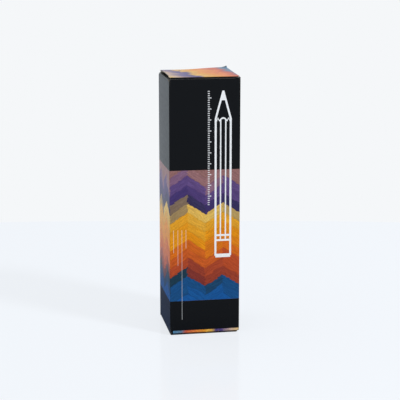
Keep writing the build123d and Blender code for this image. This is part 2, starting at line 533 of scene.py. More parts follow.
def coloured_ends(u, v):
    """1 on the lid and the base, up to their tuck folds. The lid's rear corner stays black."""
    rear_corner = (u + (DEPTH + WIDTH)).fall(2.2, 2.8) * v.fall(HEIGHT + 2.0, HEIGHT + 2.4)
    lid = v.between(HEIGHT + 0.15, LID_EDGE + 0.1, 0.12) * (rear_corner * -1.0 + 1.0)
    base = v.between(BASE_EDGE - 0.1, BLEED, 0.12) * u.between(BLEED_START, WIDTH + FOLD, 0.12)
    return lid.most(base)


def printed_outside():
    material, tree, shader = finish("printed_board", specular=0.1)
    u, v = sheet_place(tree)
    column, swatch, up, across = swatches(tree, u, v)
    throw = dice(tree, column, swatch) - 0.5
    middle = (swatch + 0.5) * SWATCH_HEIGHT
    by_height = (middle - BAND_LOW) / (BAND_HIGH - BAND_LOW) + throw * 0.09
    on_walls = v.between(BAND_LOW, BAND_HIGH)
    colours = mix(tree, on_walls, end_colours(tree, u, v, throw), ramp(tree, by_height, WALL_INKS))
    colours = shaded(tree, colours, up, across, u, v, swatch, column)
    painted_foot_shade = v.between(-1.3, 1.45, 0.2) * PAINTED_FOOT_SHADE  # painted shade: the base's fold darkened where it curls under to the table
    colours = mix(tree, painted_foot_shade, colours, ink(16, 14, 15))

    grain = sheet_cloud(tree, u, v, 0.9, 0.9, detail=3.0)
    black = mix(tree, grain, ink(6, 8, 11), ink(10, 12, 16))
    # Black wherever there is no colour. Just past the lid's tuck fold this black is painted shade for the
    # crevice behind the front wall's top edge.
    printed = mix(tree, on_walls.most(coloured_ends(u, v)), black, colours)
    white_ink = mix(tree, grain, ink(228, 230, 232), ink(240, 241, 242))
    printed = mix(tree, white_drawing(u, v), printed, white_ink)
    past_ink = v.rise(HEIGHT + DEPTH + INK_AND_SHADE_PAST_TUCK - 0.1, HEIGHT + DEPTH + INK_AND_SHADE_PAST_TUCK + 0.1)
    bare = past_ink.most(v.fall(-DEPTH - INK_AND_SHADE_PAST_TUCK - 0.1, -DEPTH - INK_AND_SHADE_PAST_TUCK + 0.1))
    printed = mix(tree, bare, printed, mix(tree, grain, ink(206, 205, 200), ink(226, 225, 221)))

    wear = tree.nodes.new("ShaderNodeAttribute")
    wear.attribute_name = "wear"
    chips = sheet_cloud(tree, u, v, 2.3, 2.3, detail=4.0, rough=0.7)
    rubbed = (Field(tree, wear.outputs["Fac"]) * chips.rise(0.36, 0.7)).rise(0.3, 0.85) * 0.6
    feed(shader.inputs["Base Color"], mix(tree, rubbed, printed, ink(150, 146, 140)))
    satin = sheet_cloud(tree, u, v, 0.35, 0.35, detail=3.0) * 0.12 + 0.3
    feed(shader.inputs["Roughness"], satin + rubbed * 0.3 + bare * 0.3)
    fibres = sheet_cloud(tree, u, v, 3.0, 2.0, detail=3.0)
    waves = sheet_cloud(tree, u, v, 0.25, 0.2, detail=1.0)
    relief(tree, shader, fibres + waves * 4.0, 0.35, 0.00002)
    return material


PRINTED = printed_outside()
print("printed_board has", len(PRINTED.node_tree.nodes), "nodes")

# %% [markdown]
# ## The bare side of the board and its cut edges
# Inside, the board is the grey-white of recycled fibre, speckled with darker fibres and quite dull. Its cut
# edge shows the plies of the board as fine lines. The dust flaps aren't printed on their outside, apart
# from a few millimetres of black ink that run over their fold.

# %% Bare board, cut edge, dust flap
DUST_INK = 5.35  # black ink runs this far past a side wall's end


def bare_colour(tree, u, v, dark, light, fleck):
    mottle = sheet_cloud(tree, u, v, 0.5, 0.5, detail=4.0, rough=0.6)
    fibre = sheet_cloud(tree, u, v, 2.6, 0.9, detail=3.0, rough=0.6)
    colour = mix(tree, mottle.rise(0.3, 0.7), dark, light)
    return mix(tree, fibre.rise(0.62, 0.72) * 0.45, colour, fleck), fibre


def bare_inside():
    material, tree, shader = finish("bare_board", roughness=0.85, specular=0.3)
    u, v = sheet_place(tree)
    colour, fibre = bare_colour(tree, u, v, ink(186, 180, 168), ink(202, 197, 187), ink(150, 142, 130))
    feed(shader.inputs["Base Color"], colour)
    relief(tree, shader, fibre, 0.5, 0.00005)
    return material


def cut_edge():
    material, tree, shader = finish("cut_board_edge", roughness=0.9, specular=0.2)
    plies = cloud(tree, object_place(tree), scale=2600.0)
    colour = mix(tree, plies.rise(0.35, 0.65), ink(112, 106, 98), ink(160, 154, 144))
    feed(shader.inputs["Base Color"], colour)
    relief(tree, shader, plies, 0.6, 0.00005)
    return material


def dust_outside():
    material, tree, shader = finish("dust_flap_outside", specular=0.15)
    u, v = sheet_place(tree)
    colour, fibre = bare_colour(tree, u, v, ink(214, 212, 206), ink(230, 229, 225), ink(190, 186, 178))
    low, high = SIDE_BOTTOM - DUST_INK, SIDE_TOP + DUST_INK
    inked = v.fall(high - 0.15, high + 0.15) * v.rise(low - 0.15, low + 0.15)
    feed(shader.inputs["Base Color"], mix(tree, inked, colour, ink(13, 14, 18)))
    feed(shader.inputs["Roughness"], inked * -0.2 + 0.58)
    relief(tree, shader, fibre, 0.4, 0.00004)
    return material


BARE, EDGE, DUST = bare_inside(), cut_edge(), dust_outside()
BOARD_LOOKS = (PRINTED, BARE, EDGE)
DUST_LOOKS = (DUST, BARE, EDGE)
print("board's finishes:", [look.name for look in (*BOARD_LOOKS, DUST)])

# %% [markdown]
# ## The four walls and the glue flap
# Seen from above, the tube is a square with its corners folded. Each wall is a strip of that plan, drawn up
# from its lower edge to its upper edge. The front and back walls take the corners with them, and the side
# walls join them on the flat. Full of pencils, the walls bow outwards by a few tenths of a millimetre.

# %% Plan of the tube
BEND_STEPS = 8
ALONG_WALL = 3.0  # spacing of the spots


def straight(start, end, out, from_flat, to_flat):
    """Spots in plan along a straight wall: (x, y, way out, place on the sheet, -1 to 1 across)."""
    found = []
    for t in shares(math.dist(start, end), ALONG_WALL):
        x, y = start[0] + (end[0] - start[0]) * t, start[1] + (end[1] - start[1]) * t
        found.append((x, y, out, from_flat + (to_flat - from_flat) * t, 2 * t - 1))
    return found


def corner(x, y, from_angle, flat):
    """Spots in plan round a folded corner, whose middle on the sheet is flat. The bend turns a quarter."""
    found = []
    for k in range(BEND_STEPS + 1):
        angle = math.radians(from_angle + 90 * k / BEND_STEPS)
        out = (math.cos(angle), math.sin(angle))
        past = FOLD * (2 * k / BEND_STEPS - 1)
        found.append((x + FOLD * out[0], y + FOLD * out[1], out, flat + past, None))
    return found


def chain(*stretches):
    """Stretches of plan one after the other. Where a wall and a corner meet, the wall's own spot is kept."""
    joined = list(stretches[0])
    for stretch in stretches[1:]:
        if stretch[0][4] is None:
            joined += stretch[1:]
        else:
            joined = joined[:-1] + stretch
    return joined


GLUE_BEND = REAR_BEND - HALF_WIDTH - BACK_RIGHT  # the glue flap's fold on the flat sheet
front_plan = chain(
    corner(-INNER_X, -INNER_Y, 180, LEFT_BEND),
    straight((-INNER_X, FRONT_Y), (INNER_X, FRONT_Y), (0, -1), LEFT_BEND + FOLD, RIGHT_BEND - FOLD),
    corner(INNER_X, -INNER_Y, 270, RIGHT_BEND),
)
back_plan = chain(
    corner(GLUE_X, INNER_Y, 0, GLUE_BEND),
    straight((GLUE_X, BACK_Y), (-INNER_X, BACK_Y), (0, 1), GLUE_BEND + FOLD, REAR_BEND - FOLD),
    corner(-INNER_X, INNER_Y, 90, REAR_BEND),
)
left_plan = straight(
    (-HALF_WIDTH, INNER_Y), (-HALF_WIDTH, -INNER_Y), (-1, 0), REAR_BEND + FOLD, LEFT_BEND - FOLD
)
right_plan = straight(
    (HALF_WIDTH, -INNER_Y), (HALF_WIDTH, RIGHT_BACK), (1, 0),
    RIGHT_BEND + FOLD, RIGHT_BEND + HALF_DEPTH + RIGHT_BACK,
)
for side, plan in (("front", front_plan), ("back", back_plan), ("left", left_plan), ("right", right_plan)):
    print(f"{side} wall: {len(plan)} spots, {plan[-1][3] - plan[0][3]:.2f} mm of the sheet")

# %% Walls
UP_WALL = 4.0  # spacing of the spots
WALL_HALF = 25.0  # about half a wall's width, which turns its -1 to 1 into millimetres
RUB_WIDTH, RUB_HEIGHT = 0.9, 9.0  # the ink has rubbed this far in from a folded corner, most near both ends
RUB_LEAST = 0.45  # wear half way up a corner


def swelling(z, across, bow):
    """How far the pencils push a wall out."""
    share = min(1.0, max(0.0, z / HEIGHT))
    return 0.0 if across is None else bow * (1 - across * across) * math.sin(math.pi * share) ** 0.6


def rubbing(z, across):
    """How worn the ink is."""
    beside = 1.0 if across is None else smooth(1 - (1 - abs(across)) * WALL_HALF / RUB_WIDTH)
    return beside * (RUB_LEAST + (1 - RUB_LEAST) * (1 - smooth(min(z, HEIGHT - z) / RUB_HEIGHT)))


def wall_spots(plan, bottom, top, bow):
    """A grid of spots up a wall. bottom and top give its edges for each spot of the plan, bow its bulge."""
    rows = []
    for x, y, out, flat, across in plan:
        low, high = bottom(x, y, across), top(x, y, across)
        way = Vector((*out, 0.0))
        row = []
        for share in shares(HEIGHT, UP_WALL):
            z = low + (high - low) * share
            place = Vector((x, y, z)) + way * swelling(z, across, bow)
            row.append(Spot(place, way, (flat, z), rubbing(z, across)))
        rows.append(row)
    return rows


def level(z):
    """An edge cut straight across."""
    return lambda x, y, across: z


def front_foot(x, y, across):
    """The front wall's lower edge: the base's fold strip hangs from it, and its right corner is rounded."""
    folded = 0.25 if across is None else 0.0
    return STRIP + folded + soft_step(x, start=22.6, over=1.9, by=1.0)


def front_head(x, y, across):
    """The front wall's upper edge stands up to the lid at its right corner."""
    return FRONT_TOP + soft_step(x, start=20.5, over=3.0, by=0.75)


def back_head(x, y, across):
    """The back wall's upper edge is the lid's fold, and is cut away round at its left corner."""
    full = HEIGHT - STRIP if across is not None else BACK_TOP
    return full - soft_step(-x, start=22.9, over=1.5, by=2.4)


def left_head(x, y, across):
    """The left wall's upper edge drops at its rear corner, past the end of the dust flap's fold."""
    return SIDE_FOLD_TOP - STRIP - 0.9 * soft_step(y, start=22.3, over=1.7, by=1.0) ** 1.5


def right_head(x, y, across):
    """The right wall's upper edge stands up in front of the dust flap, below the lid's edge."""
    return SIDE_FOLD_TOP - STRIP + soft_step(-y, start=21.0, over=0.8, by=2.2)


side_foot = level(SIDE_FOLD_LOW + STRIP)
WALLS = {
    "front_wall": (front_plan, front_foot, front_head, 0.22, "front_panel"),
    "back_wall": (back_plan, level(0.0), back_head, 0.25, "back_panel"),
    "left_wall": (left_plan, side_foot, left_head, 0.35, "left_side_panel"),
    "right_wall": (right_plan, side_foot, right_head, 0.3, "right_side_panel"),
}
for name, (plan, foot_edge, head_edge, bow, node) in WALLS.items():
    wall = board_piece(name, wall_spots(plan, foot_edge, head_edge, bow), BOARD_LOOKS)
    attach(wall, "carton")
    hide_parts(node)
    print(name, len(wall.data.polygons), "faces")

# %% Glue flap
GLUE_SLANT = 3.0
ALONG_GLUE, UP_GLUE = 2.5, 6.0  # spacing of the spots
glue_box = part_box("glue_flap")
glue_low, glue_high, glue_free = glue_box[0].z / MM, glue_box[1].z / MM, glue_box[0].y / MM
glue_rows = []
for y in steps(glue_free, INNER_Y, ALONG_GLUE):
    slant = GLUE_SLANT * (INNER_Y - y) / (INNER_Y - glue_free)
    low, high = glue_low + slant, glue_high - slant
    row = []
    for share in shares(HEIGHT, UP_GLUE):
        z = low + (high - low) * share
        row.append(Spot((BACK_RIGHT, y, z), (1, 0, 0), (REAR_BEND - WIDTH - INNER_Y + y, z)))
    glue_rows.append(row)
glue_strip = board_piece("glue_strip", glue_rows, (BARE, BARE, EDGE))
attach(glue_strip, "carton")
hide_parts("glue_flap")
print(f"glue_strip {INNER_Y - glue_free:.2f} mm wide, {len(glue_strip.data.polygons)} faces")

# %% [markdown]
# ## Folds that bend
# A scored fold is a narrow strip of board that bends while the panels on both sides stay flat.

# %% A strip that bends
FOLD_STEPS = 10
ALONG_FOLD, FOLD_ENDS = 2.5, (0.0, 0.3, 1.0)  # spacing of the spots, and where they lie near an end


def fold_strip(name, start, ahead, out, along, spans, flat_of, bodies, lift=None, radius=FOLD):
    """A strip that leaves a panel at start, heading ahead, and turns a quarter to the inside.

    out is the panel's way out, and along the way of the fold line. spans gives the strip's two ends along the
    fold as a function of how far round it is, from 0 to 1. flat_of gives the place on the sheet from the
    distance past the folded corner and the place along the fold. lift raises the flap's end of the strip.
    """
    start, ahead, out, along = (Vector(w) for w in (start, ahead, out, along))
    flat = STRIP - radius
    centre = start + ahead * flat - out * radius
    profile = [(start, out, -STRIP), (start + ahead * flat * 0.5, out, -radius - flat / 2)]
    for k in range(FOLD_STEPS + 1):
        angle = math.pi / 2 * k / FOLD_STEPS
        way = out * math.cos(angle) + ahead * math.sin(angle)
        profile.append((centre + way * radius, way, radius * (2 * k / FOLD_STEPS - 1)))
    end = centre + ahead * radius - out * flat
    profile += [(end + out * flat / 2, ahead, radius + flat / 2), (end, ahead, STRIP)]
    rows = []
    across = shares(spans(1.0)[1] - spans(1.0)[0], ALONG_FOLD, FOLD_ENDS)
    for place, way, past in profile:
        turned = (past + STRIP) / (2 * STRIP)
        low, high = spans(turned)
        rub = smooth(1.15 - abs(past) / 0.75)  # the ink is worn on the bend itself
        row = []
        for a in (low + (high - low) * share for share in across):
            up = lift(a) * smooth(turned / 0.5) if lift else 0.0
            row.append(Spot(place + along * a + ahead * up, way, flat_of(past, a), rub))
        rows.append(row)
    strip = board_piece(name, rows, BOARD_LOOKS)
    (start - out * BOARD) * MM
    (end - ahead * BOARD) * MM
    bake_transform(strip)
    print(name, "bends between", *bodies)


def span_between(at_parent, at_child):
    """The strip's ends: as wide as the panel that it leaves, then drawn in to the flap that it carries."""
    def spans(turned):
        share = soft_step(turned, start=0.16, over=0.22, by=1.0)
        return tuple(a + (b - a) * share for a, b in zip(at_parent, at_child))
    return spans


# %% Folds of the lid, the base and their tuck flaps
PANEL_HALF = HALF_WIDTH - 0.4  # half the width of the lid and the base
TUCK_HALF = PANEL_HALF - 0.9  # and of their tuck flaps
PANEL_LENGTH = BACK_Y + TUCK_Y  # from a panel's fold to its tuck flap's fold
LID_LEFT_INSET = 0.8  # the lid's left edge is cut back towards its fold
BASE_LEFT_INSET, BASE_RIGHT_INSET = 0.15, 1.4  # the base's edges, at its fold
LID_FOLD_ENDS = (-INNER_X + 1.0, GLUE_X)  # where the lid's fold leaves the back wall
BASE_FOLD_ENDS = (-INNER_X - 0.3, INNER_X - 0.9)  # where the base's fold leaves the front wall
BASE_RADIUS = STRIP - 0.1  # the base's fold is rounder than the others


def on_lid_sheet(beyond):
    """Place on the flat sheet for a piece of the lid that starts so far beyond the lid's fold."""
    return lambda s, a: (REAR_BEND - HALF_WIDTH - a, HEIGHT + beyond + s)


def on_base_sheet(beyond):
    """The same for a piece of the base."""
    return lambda s, a: (HALF_WIDTH + a, -beyond - s)


def unpressed(a):
    """The lid isn't pressed home at the right end of its fold."""
    return soft_step(a, start=-10.0, over=34.0, by=1.25)


def dog_ear(a):
    """Its corner there is a little dog-eared."""
    return soft_step(a, start=22.2, over=1.5, by=0.9)


fold_strip(
    "lid_fold", (0, BACK_Y, HEIGHT - STRIP), (0, 0, 1), (0, 1, 0), (1, 0, 0),
    span_between(LID_FOLD_ENDS, (-PANEL_HALF + LID_LEFT_INSET, PANEL_HALF)),
    on_lid_sheet(0.0), ("carton", "lid"), lift=lambda a: unpressed(a) + dog_ear(a),
)
fold_strip(
    "lid_tuck_fold", (0, STRIP - TUCK_Y, HEIGHT), (0, -1, 0), (0, 0, 1), (1, 0, 0),
    span_between((-PANEL_HALF, PANEL_HALF), (-TUCK_HALF, TUCK_HALF)),
    on_lid_sheet(PANEL_LENGTH), ("lid", "lid_tuck"),
)
fold_strip(
    "base_fold", (0, FRONT_Y, STRIP), (0, 0, -1), (0, -1, 0), (1, 0, 0),
    span_between(BASE_FOLD_ENDS, (-PANEL_HALF + BASE_LEFT_INSET, PANEL_HALF - BASE_RIGHT_INSET)),
    on_base_sheet(0.0), ("carton", "base"), radius=BASE_RADIUS,
)
fold_strip(
    "base_tuck_fold", (0, TUCK_Y - STRIP, 0), (0, 1, 0), (0, 0, -1), (1, 0, 0),
    span_between((-PANEL_HALF, PANEL_HALF), (-TUCK_HALF, TUCK_HALF)),
    on_base_sheet(PANEL_LENGTH), ("base", "base_tuck"),
)

# %% Folds of the dust flaps
DUST_FRONT, DUST_BACK = -20.7, 23.3  # the ends of the upper dust flaps' folds
FRONT_SLANT, BACK_SLANT = 0.14, 0.8  # how fast a dust flap's edges slant inwards
END_SHAPES = {  # way out of the carton, height, the fold's ends at the flap and at the wall, and the slants
    "lid": (
        1, SIDE_FOLD_TOP,
        (DUST_FRONT, DUST_BACK), (DUST_FRONT - 0.3, DUST_BACK - 1.4), (FRONT_SLANT, BACK_SLANT),
    ),
    "base": (
        -1, SIDE_FOLD_LOW,
        (-DUST_BACK, -DUST_FRONT), (-INNER_Y, INNER_Y), (BACK_SLANT, FRONT_SLANT),
    ),
}
HANDS = {"left": -1, "right": 1}


def on_dust_sheet(side, sign, height, beyond):
    """Place on the flat sheet for a piece of a dust flap that starts so far beyond its fold."""
    def flat_of(s, a):
        from_front = a + HALF_DEPTH
        u = LEFT_BEND - from_front if side < 0 else RIGHT_BEND + from_front
        return (u, height + sign * (beyond + s))
    return flat_of


for hand, side in HANDS.items():
    for end, (sign, height, at_flap, at_wall, _) in END_SHAPES.items():
        fold_strip(
            f"{end}_dust_fold_{hand}", (side * HALF_WIDTH, 0, height - sign * STRIP), (0, 0, sign),
            (side, 0, 0), (0, 1, 0), span_between(at_wall, at_flap), on_dust_sheet(side, sign, height, 0.0),
            ("carton", f"{end}_dust_{hand}"),
        )

# %% [markdown]
# ## Lid and base panels, tuck flaps and dust flaps
# The flat parts beyond the folds ride on their own bodies. The lid isn't quite flat on the real carton: it
# springs up a little in the middle, because the folds push back. The tuck flaps' corners are rounded so
# that they find their way in, and the dust flaps are cut on a slant so that they pass the tuck flap as they
# fold.

# %% A flat flap
FLAP_STARTS = (0.0, 0.25, 0.6, 1.2, 2.0, 3.0, 4.0, 5.0)  # spots near a flap's fold and its free edge
FLAP_SIDES = (0.0, 0.3, 0.8, 2.0)  # and near its sides


def flap(name, body, node, start, ahead, out, along, reach, spans, flat_of, looks, step, rise=None):
    """A flat piece from start, going ahead by reach, between two ends that spans gives for each distance."""
    start, ahead, out, along = (Vector(w) for w in (start, ahead, out, along))
    rows = []
    across = shares(spans(0.0)[1] - spans(0.0)[0], step, FLAP_SIDES)
    for s in steps(0.0, reach, step, FLAP_STARTS):
        low, high = spans(s)
        row = []
        for a in (low + (high - low) * share for share in across):
            lift = rise(s / reach, a) if rise else 0.0
            rub = smooth(1.1 - min(a - low, high - a, reach - s) / 0.5) * 0.8  # worn along its cut edges
            row.append(Spot(start + ahead * s + along * a + out * lift, out, flat_of(s, a), rub))
        rows.append(row)
    piece = board_piece(name, rows, looks)
    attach(piece, body)
    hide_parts(node)
    print(name, f"reaches {reach:.1f} mm")


def slanted(near, far, near_slant, far_slant, reach, radius):
    """The ends of a flap whose two sides slant inwards, and whose free corners are rounded."""
    def spans(s):
        into = max(0.0, s - (reach - radius)) / radius
        inset = radius * (1 - math.sqrt(max(0.0, 1 - into * into)))
        return near + near_slant * s + inset, far - far_slant * s - inset
    return spans


# %% Lid and base
PANEL_REACH = PANEL_LENGTH - 2 * STRIP  # the flat part between the two folds
PANEL_STEP = 3.0  # spacing of the spots


def lid_rise(s, a):
    """The lid's spring: it bows a little, most at its left edge, and stands up at the right of its fold."""
    bow = 0.4 * (1 - (a / PANEL_HALF) ** 2) + soft_step(-a, start=6.0, over=18.0, by=0.6)
    at_fold = unpressed(a) * (1 - s) ** 1.3 + dog_ear(a) * (1 - smooth(s / 0.06))
    return bow * math.sin(math.pi * s ** 0.8) + at_fold


def lid_ends(s):
    """The lid's two side edges: the left one is cut back, most at its fold."""
    cut_back = 1 - soft_step(s / PANEL_REACH, start=0.8, over=0.2, by=1.0)
    return -PANEL_HALF + LID_LEFT_INSET * cut_back, PANEL_HALF


def base_ends(s):
    """The base's two side edges: both are rounded off to its fold, the right one more."""
    cut_back = 1 - soft_step(s, start=0.0, over=3.0, by=1.0)
    return -PANEL_HALF + BASE_LEFT_INSET * cut_back, PANEL_HALF - BASE_RIGHT_INSET * cut_back


flap(
    "lid_board", "lid", "lid_panel", (0, BACK_Y - STRIP, HEIGHT), (0, -1, 0), (0, 0, 1), (1, 0, 0),
    PANEL_REACH, lid_ends, on_lid_sheet(STRIP), BOARD_LOOKS, PANEL_STEP, rise=lid_rise,
)
flap(
    "base_board", "base", "base_panel", (0, FRONT_Y + STRIP, 0), (0, 1, 0), (0, 0, -1), (1, 0, 0),
    PANEL_REACH, base_ends, on_base_sheet(STRIP), BOARD_LOOKS, PANEL_STEP,
)

# %% Tuck flaps
TUCK_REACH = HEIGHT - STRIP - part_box("lid_tuck_flap")[0].z / MM
TUCK_CORNER, TUCK_STEP = 5.0, 2.0
tuck_ends = slanted(-TUCK_HALF, TUCK_HALF, 0.0, 0.0, TUCK_REACH, TUCK_CORNER)
flap(
    "lid_tuck_board", "lid_tuck", "lid_tuck_flap", (0, -TUCK_Y, HEIGHT - STRIP), (0, 0, -1), (0, -1, 0),
    (1, 0, 0), TUCK_REACH, tuck_ends, on_lid_sheet(PANEL_LENGTH + STRIP), BOARD_LOOKS, TUCK_STEP,
)
flap(
    "base_tuck_board", "base_tuck", "base_tuck_flap", (0, TUCK_Y, STRIP), (0, 0, 1), (0, 1, 0),
    (1, 0, 0), TUCK_REACH, tuck_ends, on_base_sheet(PANEL_LENGTH + STRIP), BOARD_LOOKS, TUCK_STEP,
)

# %% Dust flaps
DUST_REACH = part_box("lid_dust_flap_left")[1].x / MM - (-HALF_WIDTH + STRIP)
DUST_CORNER, DUST_STEP = 3.0, 2.5
for hand, side in HANDS.items():
    for end, (sign, height, at_flap, _, slants) in END_SHAPES.items():
        flap(
            f"{end}_dust_board_{hand}", f"{end}_dust_{hand}", f"{end}_dust_flap_{hand}",
            (side * (HALF_WIDTH - STRIP), 0, height), (-side, 0, 0), (0, 0, sign), (0, 1, 0), DUST_REACH,
            slanted(*at_flap, *slants, DUST_REACH, DUST_CORNER), on_dust_sheet(side, sign, height, STRIP),
            DUST_LOOKS, DUST_STEP,
        )

# %% [markdown]
# ## Coloured pencils
# A pencil is a wooden stick turned round a coloured lead, dipped in lacquer, and sharpened. It follows a
# rule, a line with a thickness at each height, so Geometry Nodes can make it: a short line of points is
# moved to those heights, each gets its radius, and a circle is drawn along it. The same tree makes all 36,
# and their places come from the frame. The tree ends by giving the cone its wood, and the tip and the foot
# their lead.

# %% The pencil's finishes
def darker(colour, share):
    """The colour, with so much of its light."""
    return (*(share * c for c in colour[:3]), 1.0)


def lacquer(name, colour):
    """Gloss lacquer with a faint orange peel, in one pencil's colour."""
    material, tree, shader = finish(name, roughness=0.18, specular=0.5)
    place = object_place(tree)
    flow = cloud(tree, place, scale=90.0)
    feed(shader.inputs["Base Color"], mix(tree, flow, darker(colour, 0.86), colour))
    shader.inputs["Coat Weight"].default_value = 0.4
    shader.inputs["Coat Roughness"].default_value = 0.08
    relief(tree, shader, cloud(tree, place, scale=900.0, detail=1.0), 0.12, 0.00003)
    return material


def lead_of(name, colour):
    """Wax-bound coloured lead: matt, a little mottled, with fine turning marks."""
    material, tree, shader = finish(name, roughness=0.62, specular=0.3)
    mottle = cloud(tree, object_place(tree), scale=1500.0, detail=3.0)
    feed(shader.inputs["Base Color"], mix(tree, mottle.rise(0.3, 0.7), darker(colour, 0.7), colour))
    relief(tree, shader, mottle, 0.3, 0.00004)
    return material


def sharpened_wood():
    """Pale reddish wood cut on a slant: rings show as long streaks, and the cutter leaves fine waves."""
    material, tree, shader = finish("sharpened_wood", roughness=0.6, specular=0.3)
    stretch = tree.nodes.new("ShaderNodeMapping")
    stretch.inputs["Scale"].default_value = (1.0, 1.0, 0.12)
    feed(stretch.inputs["Vector"], object_place(tree))
    grain = cloud(tree, stretch.outputs["Vector"], scale=1400.0, detail=4.0, rough=0.6)
    colour = mix(tree, grain.rise(0.3, 0.7), ink(206, 162, 120), ink(234, 200, 162))
    feed(shader.inputs["Base Color"], colour)
    relief(tree, shader, grain, 0.35, 0.00005)
    return material


WOOD = sharpened_wood()
print("wood of", len(WOOD.node_tree.nodes), "nodes for every pencil")

# %% The pencil's outline
pencil_low, pencil_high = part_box("pencil_01")
PENCIL_RADIUS = (pencil_high.x - pencil_low.x) / 2
PENCIL_LENGTH = pencil_high.z - pencil_low.z
LEAD_RADIUS, TIP_RADIUS, POINT = 1.65 * MM, 0.4 * MM, 21.0 * MM
CHAMFER, PROUD = 0.4 * MM, 0.02 * MM  # at the foot: its bevel, and how far the lead stands out of the wood
NEAR = 0.25 * MM  # a ring just before and after an edge, so that the shading turns there
SHOULDER = PENCIL_LENGTH - POINT  # where the cone starts
SLOPE = (PENCIL_RADIUS - TIP_RADIUS) / POINT
LEAD_START = SHOULDER + (PENCIL_RADIUS - LEAD_RADIUS) / SLOPE


def on_cone(z):
    """A point of the outline on the sharpened cone."""
    return z, PENCIL_RADIUS - SLOPE * (z - SHOULDER)


PROFILE = [  # (height, radius) up the pencil, in metres
    (0.0, LEAD_RADIUS),
    (PROUD, PENCIL_RADIUS - CHAMFER),
    (CHAMFER, PENCIL_RADIUS),
    (CHAMFER + NEAR, PENCIL_RADIUS),
    (SHOULDER - NEAR, PENCIL_RADIUS),
    (SHOULDER, PENCIL_RADIUS),
    on_cone(SHOULDER + NEAR),
    on_cone(LEAD_START - NEAR),
    (LEAD_START, LEAD_RADIUS),
    on_cone(PENCIL_LENGTH - 3 * NEAR),
    (PENCIL_LENGTH, TIP_RADIUS),
]
print("pencil's outline, mm:", [(round(z / MM, 2), round(r / MM, 2)) for z, r in PROFILE])

# %% The pencil's tree
WOOD_BELOW, LEAD_BELOW = 0.1 * MM, 0.004 * MM  # the foot's wood, and its lead in the middle
PENCIL_SIZES = {
    "Place": "NodeSocketVector",
    "Thickness": "NodeSocketFloat",
    "Sides": "NodeSocketInt",
    "Lacquer": "NodeSocketMaterial",
    "Wood": "NodeSocketMaterial",
    "Lead": "NodeSocketMaterial",
}


def pencil_tree():
    """The tree that draws a pencil of a given size at a given place, in three materials."""
    tree = bpy.data.node_groups.new("turned_pencil", "GeometryNodeTree")
    sockets = {
        name: tree.interface.new_socket(name=name, in_out="INPUT", socket_type=kind).identifier
        for name, kind in PENCIL_SIZES.items()
    }
    tree.interface.new_socket(name="Geometry", in_out="OUTPUT", socket_type="NodeSocketGeometry")

    def add(kind, operation=None, **values):
        """A new node, whose inputs get a link or a plain value each. In their names _ stands for a space."""
        node = tree.nodes.new(kind)
        if operation:
            node.operation = operation
        for name, value in values.items():
            feed(node.inputs[name.replace("_", " ")], value)
        return node

    def pair(kind, operation, first, second):
        """A node that works something out of two inputs."""
        node = add(kind, operation)
        feed(node.inputs[0], first)
        feed(node.inputs[1], second)
        return node.outputs[0]

    given = tree.nodes.new("NodeGroupInput").outputs
    index = add("GeometryNodeInputIndex").outputs[0]

    def by_index(values):
        """One number for each point of the line."""
        switch = add("GeometryNodeIndexSwitch")
        switch.data_type = "FLOAT"
        while len(switch.index_switch_items) < len(values):
            switch.index_switch_items.new()
        feed(switch.inputs["Index"], index)
        for k, value in enumerate(values):
            switch.inputs[1 + k].default_value = value
        return switch.outputs[0]

    line_of_points = add("GeometryNodeMeshLine", Count=len(PROFILE)).outputs["Mesh"]
    heights = add("ShaderNodeCombineXYZ", Z=by_index([z for z, _ in PROFILE])).outputs[0]
    raised = add("GeometryNodeSetPosition", Geometry=line_of_points, Position=heights).outputs[0]
    spine = add("GeometryNodeMeshToCurve", Mesh=raised).outputs[0]
    share = by_index([r / PENCIL_RADIUS for _, r in PROFILE])
    thickness = pair("ShaderNodeMath", "MULTIPLY", share, given["Thickness"])
    circle = add("GeometryNodeCurvePrimitiveCircle", Radius=0.5, Resolution=given["Sides"]).outputs["Curve"]
    skin = add("GeometryNodeCurveToMesh", Curve=spine, Profile_Curve=circle, Scale=thickness, Fill_Caps=True)
    moved = add("GeometryNodeTransform", Geometry=skin.outputs[0], Translation=given["Place"]).outputs[0]
    drawn = add("GeometryNodeRealizeInstances", Geometry=moved).outputs[0]

    position = add("GeometryNodeInputPosition").outputs[0]
    from_foot = pair("ShaderNodeVectorMath", "SUBTRACT", position, given["Place"])
    height = add("ShaderNodeSeparateXYZ", Vector=from_foot).outputs["Z"]
    for which, operation, limit in (
        ("Lacquer", None, None),
        ("Wood", "GREATER_THAN", SHOULDER),
        ("Wood", "LESS_THAN", WOOD_BELOW),
        ("Lead", "GREATER_THAN", LEAD_START),
        ("Lead", "LESS_THAN", LEAD_BELOW),
    ):
        coat = add("GeometryNodeSetMaterial", Geometry=drawn, Material=given[which])
        if operation:
            feed(coat.inputs["Selection"], pair("FunctionNodeCompare", operation, height, limit))
        drawn = coat.outputs[0]
    feed(tree.nodes.new("NodeGroupOutput").inputs[0], drawn)
    return tree, sockets


PENCIL_TREE, PENCIL_INPUTS = pencil_tree()
print("turned_pencil has", len(PENCIL_TREE.nodes), "nodes; its inputs are", list(PENCIL_INPUTS))

# %% Thirty-six pencils
PENCILS, SIDES = 36, 28
SHARP = math.radians(32)  # the shading breaks at a steeper edge than this
record_colours = {m["slot"]: m["base_color"] for m in frame["record"]["materials"]}


